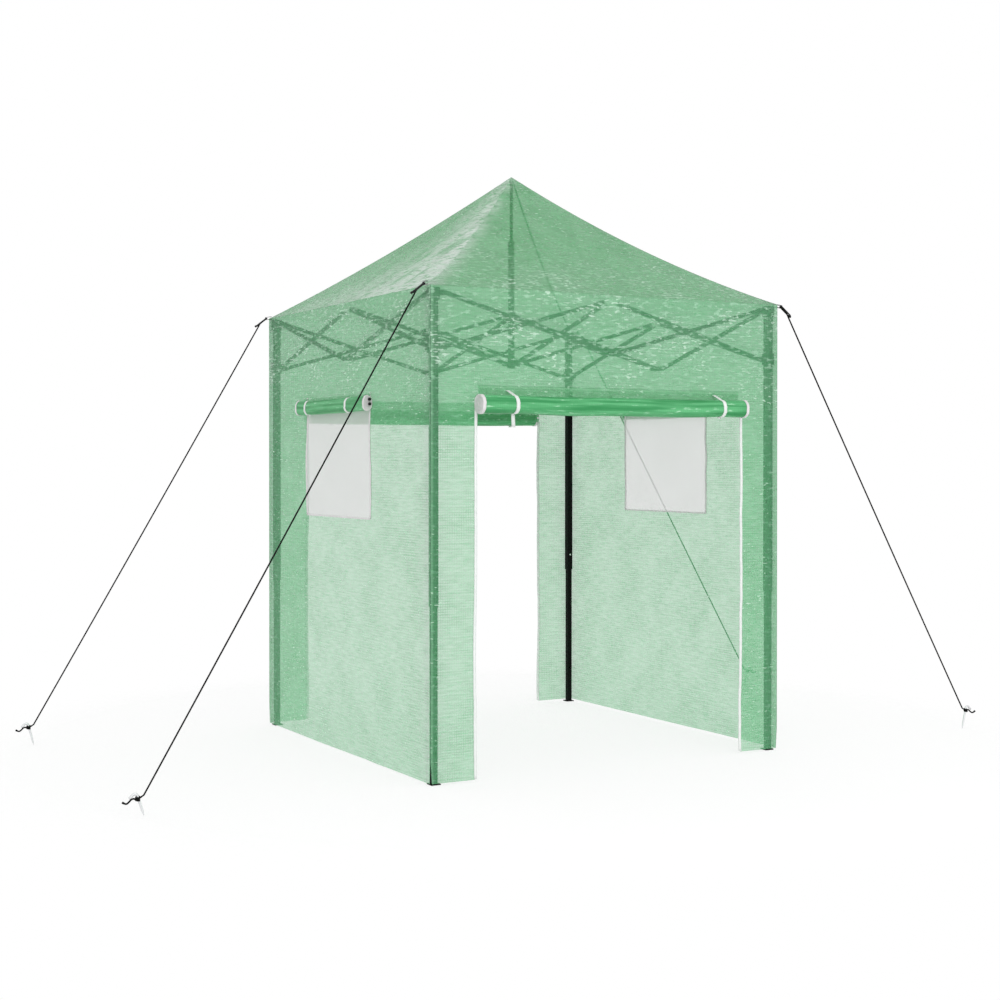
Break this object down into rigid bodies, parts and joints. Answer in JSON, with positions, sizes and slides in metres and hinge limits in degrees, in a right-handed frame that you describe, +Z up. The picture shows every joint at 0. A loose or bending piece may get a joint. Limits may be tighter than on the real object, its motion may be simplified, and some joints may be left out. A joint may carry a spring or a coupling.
{
  "type": "pop-up greenhouse",
  "caption": "Small square walk-in pop-up greenhouse: folding scissor frame, sheet cover with pyramid roof, roll-up doors and windows, and guy lines.",
  "frame": {"origin": "on the ground, at the centre of the square footprint", "axes": "+Z up, +X along the front wall to its right end, +Y from the front doorway to the back doorway"},
  "size_m": [2.861, 1.3108, 1.81],
  "materials": {
    "frame_steel": "satin black powder coat",
    "black_plastic": "moulded, fine grain",
    "pale_plastic": "moulded nylon, satin",
    "cover_sheet": "translucent green sheet with a woven reinforcing grid, semi-gloss",
    "window_mesh": "fine white insect mesh",
    "white_binding": "woven tape",
    "button_steel": "polished",
    "peg_steel": "galvanised",
    "guy_cord": "braided cord"
  },
  "bodies": {
    "hub": {"upper_hub": "black_plastic", "roof": "cover_sheet", "front_wall": "cover_sheet", "right_wall": "cover_sheet", "back_wall": "cover_sheet", "left_wall": "cover_sheet"},
    "pole": {"lower_hub": "black_plastic", "centre_pole": "frame_steel"},
    "front_inner_bar_high": {"front_inner_bar_high": "frame_steel"},
    "front_bottom_joint": {"front_bottom_joint": "pale_plastic"},
    "front_inner_bar_low": {"front_inner_bar_low": "frame_steel"},
    "front_top_joint": {"front_top_joint": "pale_plastic"},
    "front_bar_high_at_front_left": {"front_bar_high_at_front_left": "frame_steel"},
    "front_bar_low_at_front_left": {"front_bar_low_at_front_left": "frame_steel"},
    "leg_front_left": {"leg_front_left": "frame_steel"},
    "slider_front_left": {"slider_front_left": "black_plastic"},
    "front_bar_high_at_front_right": {"front_bar_high_at_front_right": "frame_steel"},
    "front_bar_low_at_front_right": {"front_bar_low_at_front_right": "frame_steel"},
    "leg_front_right": {"leg_front_right": "frame_steel"},
    "slider_front_right": {"slider_front_right": "black_plastic"},
    "right_inner_bar_high": {"right_inner_bar_high": "frame_steel"},
    "right_bottom_joint": {"right_bottom_joint": "pale_plastic"},
    "right_inner_bar_low": {"right_inner_bar_low": "frame_steel"},
    "right_top_joint": {"right_top_joint": "pale_plastic"},
    "right_bar_high_at_front_right": {"right_bar_high_at_front_right": "frame_steel"},
    "right_bar_low_at_front_right": {"right_bar_low_at_front_right": "frame_steel"},
    "right_bar_high_at_back_right": {"right_bar_high_at_back_right": "frame_steel"},
    "right_bar_low_at_back_right": {"right_bar_low_at_back_right": "frame_steel"},
    "back_inner_bar_high": {"back_inner_bar_high": "frame_steel"},
    "back_bottom_joint": {"back_bottom_joint": "pale_plastic"},
    "back_inner_bar_low": {"back_inner_bar_low": "frame_steel"},
    "back_top_joint": {"back_top_joint": "pale_plastic"},
    "back_bar_high_at_back_right": {"back_bar_high_at_back_right": "frame_steel"},
    "back_bar_low_at_back_right": {"back_bar_low_at_back_right": "frame_steel"},
    "leg_back_right": {"leg_back_right": "frame_steel"},
    "slider_back_right": {"slider_back_right": "black_plastic"},
    "back_bar_high_at_back_left": {"back_bar_high_at_back_left": "frame_steel"},
    "back_bar_low_at_back_left": {"back_bar_low_at_back_left": "frame_steel"},
    "leg_back_left": {"leg_back_left": "frame_steel"},
    "slider_back_left": {"slider_back_left": "black_plastic"},
    "left_inner_bar_high": {"left_inner_bar_high": "frame_steel"},
    "left_bottom_joint": {"left_bottom_joint": "pale_plastic"},
    "left_inner_bar_low": {"left_inner_bar_low": "frame_steel"},
    "left_top_joint": {"left_top_joint": "pale_plastic"},
    "left_bar_high_at_back_left": {"left_bar_high_at_back_left": "frame_steel"},
    "left_bar_low_at_back_left": {"left_bar_low_at_back_left": "frame_steel"},
    "left_bar_high_at_front_left": {"left_bar_high_at_front_left": "frame_steel"},
    "left_bar_low_at_front_left": {"left_bar_low_at_front_left": "frame_steel"},
    "lower_leg_front_left": {"lower_leg_front_left": "frame_steel"},
    "leg_button_front_left": {"leg_button_front_left": "button_steel"},
    "guy_line_front_left": {"guy_line_front_left": "guy_cord"},
    "lower_leg_front_right": {"lower_leg_front_right": "frame_steel"},
    "leg_button_front_right": {"leg_button_front_right": "button_steel"},
    "guy_line_front_right": {"guy_line_front_right": "guy_cord"},
    "lower_leg_back_right": {"lower_leg_back_right": "frame_steel"},
    "leg_button_back_right": {"leg_button_back_right": "button_steel"},
    "guy_line_back_right": {"guy_line_back_right": "guy_cord"},
    "lower_leg_back_left": {"lower_leg_back_left": "frame_steel"},
    "leg_button_back_left": {"leg_button_back_left": "button_steel"},
    "guy_line_back_left": {"guy_line_back_left": "guy_cord"}
  },
  "joints": [
    {"name": "fold", "type": "hinge", "parent": "hub", "child": "front_inner_bar_high", "pos_m": [0, -0.022, 1.355], "axis": [1, 0, 0], "range_deg": [0, 71], "deforming": ["roof", "front_wall", "right_wall", "back_wall", "left_wall"]},
    {"name": "front_bottom_joint_turn", "type": "hinge", "parent": "front_inner_bar_high", "child": "front_bottom_joint", "pos_m": [0, -0.555, 1.205], "axis": [1, 0, 0], "range_deg": [-72, 0]},
    {"name": "front_inner_bar_low_turn", "type": "hinge", "parent": "front_inner_bar_high", "child": "front_inner_bar_low", "pos_m": [0, -0.2885, 1.28], "axis": [1, 0, 0], "range_deg": [-143, 0]},
    {"name": "front_top_joint_turn", "type": "hinge", "parent": "front_inner_bar_low", "child": "front_top_joint", "pos_m": [0, -0.555, 1.355], "axis": [1, 0, 0], "range_deg": [0, 72]},
    {"name": "pole_turn", "type": "hinge", "parent": "front_inner_bar_low", "child": "pole", "pos_m": [0, -0.022, 1.205], "axis": [1, 0, 0], "range_deg": [0, 72]},
    {"name": "front_bar_high_at_front_left_turn", "type": "hinge", "parent": "front_bottom_joint", "child": "front_bar_high_at_front_left", "pos_m": [-0.015, -0.58, 1.205], "axis": [0, 1, 0], "range_deg": [0, 72]},
    {"name": "front_bar_low_at_front_left_turn", "type": "hinge", "parent": "front_bar_high_at_front_left", "child": "front_bar_low_at_front_left", "pos_m": [-0.2815, -0.58, 1.28], "axis": [0, 1, 0], "range_deg": [-143, 0]},
    {"name": "leg_front_left_turn", "type": "hinge", "parent": "front_bar_high_at_front_left", "child": "leg_front_left", "pos_m": [-0.548, -0.58, 1.355], "axis": [0, 1, 0], "range_deg": [-72, 0]},
    {"name": "slider_front_left_turn", "type": "hinge", "parent": "front_bar_low_at_front_left", "child": "slider_front_left", "pos_m": [-0.548, -0.58, 1.205], "axis": [0, 1, 0], "range_deg": [0, 72]},
    {"name": "front_bar_high_at_front_right_turn", "type": "hinge", "parent": "front_bottom_joint", "child": "front_bar_high_at_front_right", "pos_m": [0.015, -0.58, 1.205], "axis": [0, -1, 0], "range_deg": [0, 72]},
    {"name": "front_bar_low_at_front_right_turn", "type": "hinge", "parent": "front_bar_high_at_front_right", "child": "front_bar_low_at_front_right", "pos_m": [0.2815, -0.58, 1.28], "axis": [0, -1, 0], "range_deg": [-143, 0]},
    {"name": "leg_front_right_turn", "type": "hinge", "parent": "front_bar_high_at_front_right", "child": "leg_front_right", "pos_m": [0.548, -0.58, 1.355], "axis": [0, -1, 0], "range_deg": [-72, 0]},
    {"name": "slider_front_right_turn", "type": "hinge", "parent": "front_bar_low_at_front_right", "child": "slider_front_right", "pos_m": [0.548, -0.58, 1.205], "axis": [0, -1, 0], "range_deg": [0, 72]},
    {"name": "right_inner_bar_high_turn", "type": "hinge", "parent": "hub", "child": "right_inner_bar_high", "pos_m": [0.022, 0, 1.355], "axis": [0, 1, 0], "range_deg": [0, 72]},
    {"name": "right_bottom_joint_turn", "type": "hinge", "parent": "right_inner_bar_high", "child": "right_bottom_joint", "pos_m": [0.555, 0, 1.205], "axis": [0, 1, 0], "range_deg": [-72, 0]},
    {"name": "right_inner_bar_low_turn", "type": "hinge", "parent": "right_inner_bar_high", "child": "right_inner_bar_low", "pos_m": [0.2885, 0, 1.28], "axis": [0, 1, 0], "range_deg": [-143, 0]},
    {"name": "right_top_joint_turn", "type": "hinge", "parent": "right_inner_bar_low", "child": "right_top_joint", "pos_m": [0.555, 0, 1.355], "axis": [0, 1, 0], "range_deg": [0, 72]},
    {"name": "right_bar_high_at_front_right_turn", "type": "hinge", "parent": "right_bottom_joint", "child": "right_bar_high_at_front_right", "pos_m": [0.58, -0.015, 1.205], "axis": [-1, 0, 0], "range_deg": [0, 72]},
    {"name": "right_bar_low_at_front_right_turn", "type": "hinge", "parent": "right_bar_high_at_front_right", "child": "right_bar_low_at_front_right", "pos_m": [0.58, -0.2815, 1.28], "axis": [-1, 0, 0], "range_deg": [-143, 0]},
    {"name": "right_bar_high_at_back_right_turn", "type": "hinge", "parent": "right_bottom_joint", "child": "right_bar_high_at_back_right", "pos_m": [0.58, 0.015, 1.205], "axis": [1, 0, 0], "range_deg": [0, 72]},
    {"name": "right_bar_low_at_back_right_turn", "type": "hinge", "parent": "right_bar_high_at_back_right", "child": "right_bar_low_at_back_right", "pos_m": [0.58, 0.2815, 1.28], "axis": [1, 0, 0], "range_deg": [-143, 0]},
    {"name": "back_inner_bar_high_turn", "type": "hinge", "parent": "hub", "child": "back_inner_bar_high", "pos_m": [0, 0.022, 1.355], "axis": [-1, 0, 0], "range_deg": [0, 72]},
    {"name": "back_bottom_joint_turn", "type": "hinge", "parent": "back_inner_bar_high", "child": "back_bottom_joint", "pos_m": [0, 0.555, 1.205], "axis": [-1, 0, 0], "range_deg": [-72, 0]},
    {"name": "back_inner_bar_low_turn", "type": "hinge", "parent": "back_inner_bar_high", "child": "back_inner_bar_low", "pos_m": [0, 0.2885, 1.28], "axis": [-1, 0, 0], "range_deg": [-143, 0]},
    {"name": "back_top_joint_turn", "type": "hinge", "parent": "back_inner_bar_low", "child": "back_top_joint", "pos_m": [0, 0.555, 1.355], "axis": [-1, 0, 0], "range_deg": [0, 72]},
    {"name": "back_bar_high_at_back_right_turn", "type": "hinge", "parent": "back_bottom_joint", "child": "back_bar_high_at_back_right", "pos_m": [0.015, 0.58, 1.205], "axis": [0, -1, 0], "range_deg": [0, 72]},
    {"name": "back_bar_low_at_back_right_turn", "type": "hinge", "parent": "back_bar_high_at_back_right", "child": "back_bar_low_at_back_right", "pos_m": [0.2815, 0.58, 1.28], "axis": [0, -1, 0], "range_deg": [-143, 0]},
    {"name": "leg_back_right_turn", "type": "hinge", "parent": "back_bar_high_at_back_right", "child": "leg_back_right", "pos_m": [0.548, 0.58, 1.355], "axis": [0, -1, 0], "range_deg": [-72, 0]},
    {"name": "slider_back_right_turn", "type": "hinge", "parent": "back_bar_low_at_back_right", "child": "slider_back_right", "pos_m": [0.548, 0.58, 1.205], "axis": [0, -1, 0], "range_deg": [0, 72]},
    {"name": "back_bar_high_at_back_left_turn", "type": "hinge", "parent": "back_bottom_joint", "child": "back_bar_high_at_back_left", "pos_m": [-0.015, 0.58, 1.205], "axis": [0, 1, 0], "range_deg": [0, 72]},
    {"name": "back_bar_low_at_back_left_turn", "type": "hinge", "parent": "back_bar_high_at_back_left", "child": "back_bar_low_at_back_left", "pos_m": [-0.2815, 0.58, 1.28], "axis": [0, 1, 0], "range_deg": [-143, 0]},
    {"name": "leg_back_left_turn", "type": "hinge", "parent": "back_bar_high_at_back_left", "child": "leg_back_left", "pos_m": [-0.548, 0.58, 1.355], "axis": [0, 1, 0], "range_deg": [-72, 0]},
    {"name": "slider_back_left_turn", "type": "hinge", "parent": "back_bar_low_at_back_left", "child": "slider_back_left", "pos_m": [-0.548, 0.58, 1.205], "axis": [0, 1, 0], "range_deg": [0, 72]},
    {"name": "left_inner_bar_high_turn", "type": "hinge", "parent": "hub", "child": "left_inner_bar_high", "pos_m": [-0.022, 0, 1.355], "axis": [0, -1, 0], "range_deg": [0, 72]},
    {"name": "left_bottom_joint_turn", "type": "hinge", "parent": "left_inner_bar_high", "child": "left_bottom_joint", "pos_m": [-0.555, 0, 1.205], "axis": [0, -1, 0], "range_deg": [-72, 0]},
    {"name": "left_inner_bar_low_turn", "type": "hinge", "parent": "left_inner_bar_high", "child": "left_inner_bar_low", "pos_m": [-0.2885, 0, 1.28], "axis": [0, -1, 0], "range_deg": [-143, 0]},
    {"name": "left_top_joint_turn", "type": "hinge", "parent": "left_inner_bar_low", "child": "left_top_joint", "pos_m": [-0.555, 0, 1.355], "axis": [0, -1, 0], "range_deg": [0, 72]},
    {"name": "left_bar_high_at_back_left_turn", "type": "hinge", "parent": "left_bottom_joint", "child": "left_bar_high_at_back_left", "pos_m": [-0.58, 0.015, 1.205], "axis": [1, 0, 0], "range_deg": [0, 72]},
    {"name": "left_bar_low_at_back_left_turn", "type": "hinge", "parent": "left_bar_high_at_back_left", "child": "left_bar_low_at_back_left", "pos_m": [-0.58, 0.2815, 1.28], "axis": [1, 0, 0], "range_deg": [-143, 0]},
    {"name": "left_bar_high_at_front_left_turn", "type": "hinge", "parent": "left_bottom_joint", "child": "left_bar_high_at_front_left", "pos_m": [-0.58, -0.015, 1.205], "axis": [-1, 0, 0], "range_deg": [0, 72]},
    {"name": "left_bar_low_at_front_left_turn", "type": "hinge", "parent": "left_bar_high_at_front_left", "child": "left_bar_low_at_front_left", "pos_m": [-0.58, -0.2815, 1.28], "axis": [-1, 0, 0], "range_deg": [-143, 0]},
    {"name": "leg_front_left_extension", "type": "slide", "parent": "leg_front_left", "child": "lower_leg_front_left", "axis": [0, 0, 1], "range_m": [0, 0.42], "stiffness_N_per_m": 100, "springref_m": -0.6},
    {"name": "button_front_left_press", "type": "slide", "parent": "leg_front_left", "child": "leg_button_front_left", "axis": [0, -1, 0], "range_m": [0, 0.0025], "stiffness_N_per_m": 2000, "springref_m": -0.002},
    {"name": "guy_line_front_left_swing", "type": "hinge", "parent": "leg_front_left", "child": "guy_line_front_left", "pos_m": [-0.604, -0.58, 1.352], "axis": [0, -1, 0], "range_deg": [0, 31]},
    {"name": "leg_front_right_extension", "type": "slide", "parent": "leg_front_right", "child": "lower_leg_front_right", "axis": [0, 0, 1], "range_m": [0, 0.42], "stiffness_N_per_m": 100, "springref_m": -0.6},
    {"name": "button_front_right_press", "type": "slide", "parent": "leg_front_right", "child": "leg_button_front_right", "axis": [1, 0, 0], "range_m": [0, 0.0025], "stiffness_N_per_m": 2000, "springref_m": -0.002},
    {"name": "guy_line_front_right_swing", "type": "hinge", "parent": "leg_front_right", "child": "guy_line_front_right", "pos_m": [0.604, -0.58, 1.352], "axis": [0, 1, 0], "range_deg": [0, 31]},
    {"name": "leg_back_right_extension", "type": "slide", "parent": "leg_back_right", "child": "lower_leg_back_right", "axis": [0, 0, 1], "range_m": [0, 0.42], "stiffness_N_per_m": 100, "springref_m": -0.6},
    {"name": "button_back_right_press", "type": "slide", "parent": "leg_back_right", "child": "leg_button_back_right", "axis": [0, 1, 0], "range_m": [0, 0.0025], "stiffness_N_per_m": 2000, "springref_m": -0.002},
    {"name": "guy_line_back_right_swing", "type": "hinge", "parent": "leg_back_right", "child": "guy_line_back_right", "pos_m": [0.604, 0.58, 1.352], "axis": [0, 1, 0], "range_deg": [0, 31]},
    {"name": "leg_back_left_extension", "type": "slide", "parent": "leg_back_left", "child": "lower_leg_back_left", "axis": [0, 0, 1], "range_m": [0, 0.42], "stiffness_N_per_m": 100, "springref_m": -0.6},
    {"name": "button_back_left_press", "type": "slide", "parent": "leg_back_left", "child": "leg_button_back_left", "axis": [-1, 0, 0], "range_m": [0, 0.0025], "stiffness_N_per_m": 2000, "springref_m": -0.002},
    {"name": "guy_line_back_left_swing", "type": "hinge", "parent": "leg_back_left", "child": "guy_line_back_left", "pos_m": [-0.604, 0.58, 1.352], "axis": [0, -1, 0], "range_deg": [0, 31]}
  ],
  "couplings": [
    {"joint": "front_bottom_joint_turn", "follows": "fold", "ratio": -1},
    {"joint": "front_inner_bar_low_turn", "follows": "fold", "ratio": -2},
    {"joint": "front_top_joint_turn", "follows": "fold", "ratio": 1},
    {"joint": "pole_turn", "follows": "fold", "ratio": 1},
    {"joint": "front_bar_high_at_front_left_turn", "follows": "fold", "ratio": 1},
    {"joint": "front_bar_low_at_front_left_turn", "follows": "fold", "ratio": -2},
    {"joint": "leg_front_left_turn", "follows": "fold", "ratio": -1},
    {"joint": "slider_front_left_turn", "follows": "fold", "ratio": 1},
    {"joint": "front_bar_high_at_front_right_turn", "follows": "fold", "ratio": 1},
    {"joint": "front_bar_low_at_front_right_turn", "follows": "fold", "ratio": -2},
    {"joint": "leg_front_right_turn", "follows": "fold", "ratio": -1},
    {"joint": "slider_front_right_turn", "follows": "fold", "ratio": 1},
    {"joint": "right_inner_bar_high_turn", "follows": "fold", "ratio": 1},
    {"joint": "right_bottom_joint_turn", "follows": "fold", "ratio": -1},
    {"joint": "right_inner_bar_low_turn", "follows": "fold", "ratio": -2},
    {"joint": "right_top_joint_turn", "follows": "fold", "ratio": 1},
    {"joint": "right_bar_high_at_front_right_turn", "follows": "fold", "ratio": 1},
    {"joint": "right_bar_low_at_front_right_turn", "follows": "fold", "ratio": -2},
    {"joint": "right_bar_high_at_back_right_turn", "follows": "fold", "ratio": 1},
    {"joint": "right_bar_low_at_back_right_turn", "follows": "fold", "ratio": -2},
    {"joint": "back_inner_bar_high_turn", "follows": "fold", "ratio": 1},
    {"joint": "back_bottom_joint_turn", "follows": "fold", "ratio": -1},
    {"joint": "back_inner_bar_low_turn", "follows": "fold", "ratio": -2},
    {"joint": "back_top_joint_turn", "follows": "fold", "ratio": 1},
    {"joint": "back_bar_high_at_back_right_turn", "follows": "fold", "ratio": 1},
    {"joint": "back_bar_low_at_back_right_turn", "follows": "fold", "ratio": -2},
    {"joint": "leg_back_right_turn", "follows": "fold", "ratio": -1},
    {"joint": "slider_back_right_turn", "follows": "fold", "ratio": 1},
    {"joint": "back_bar_high_at_back_left_turn", "follows": "fold", "ratio": 1},
    {"joint": "back_bar_low_at_back_left_turn", "follows": "fold", "ratio": -2},
    {"joint": "leg_back_left_turn", "follows": "fold", "ratio": -1},
    {"joint": "slider_back_left_turn", "follows": "fold", "ratio": 1},
    {"joint": "left_inner_bar_high_turn", "follows": "fold", "ratio": 1},
    {"joint": "left_bottom_joint_turn", "follows": "fold", "ratio": -1},
    {"joint": "left_inner_bar_low_turn", "follows": "fold", "ratio": -2},
    {"joint": "left_top_joint_turn", "follows": "fold", "ratio": 1},
    {"joint": "left_bar_high_at_back_left_turn", "follows": "fold", "ratio": 1},
    {"joint": "left_bar_low_at_back_left_turn", "follows": "fold", "ratio": -2},
    {"joint": "left_bar_high_at_front_left_turn", "follows": "fold", "ratio": 1},
    {"joint": "left_bar_low_at_front_left_turn", "follows": "fold", "ratio": -2},
    {"joint": "guy_line_front_left_swing", "follows": "fold", "ratio": 0.43},
    {"joint": "guy_line_front_right_swing", "follows": "fold", "ratio": 0.43},
    {"joint": "guy_line_back_right_swing", "follows": "fold", "ratio": 0.43},
    {"joint": "guy_line_back_left_swing", "follows": "fold", "ratio": 0.43}
  ]
}
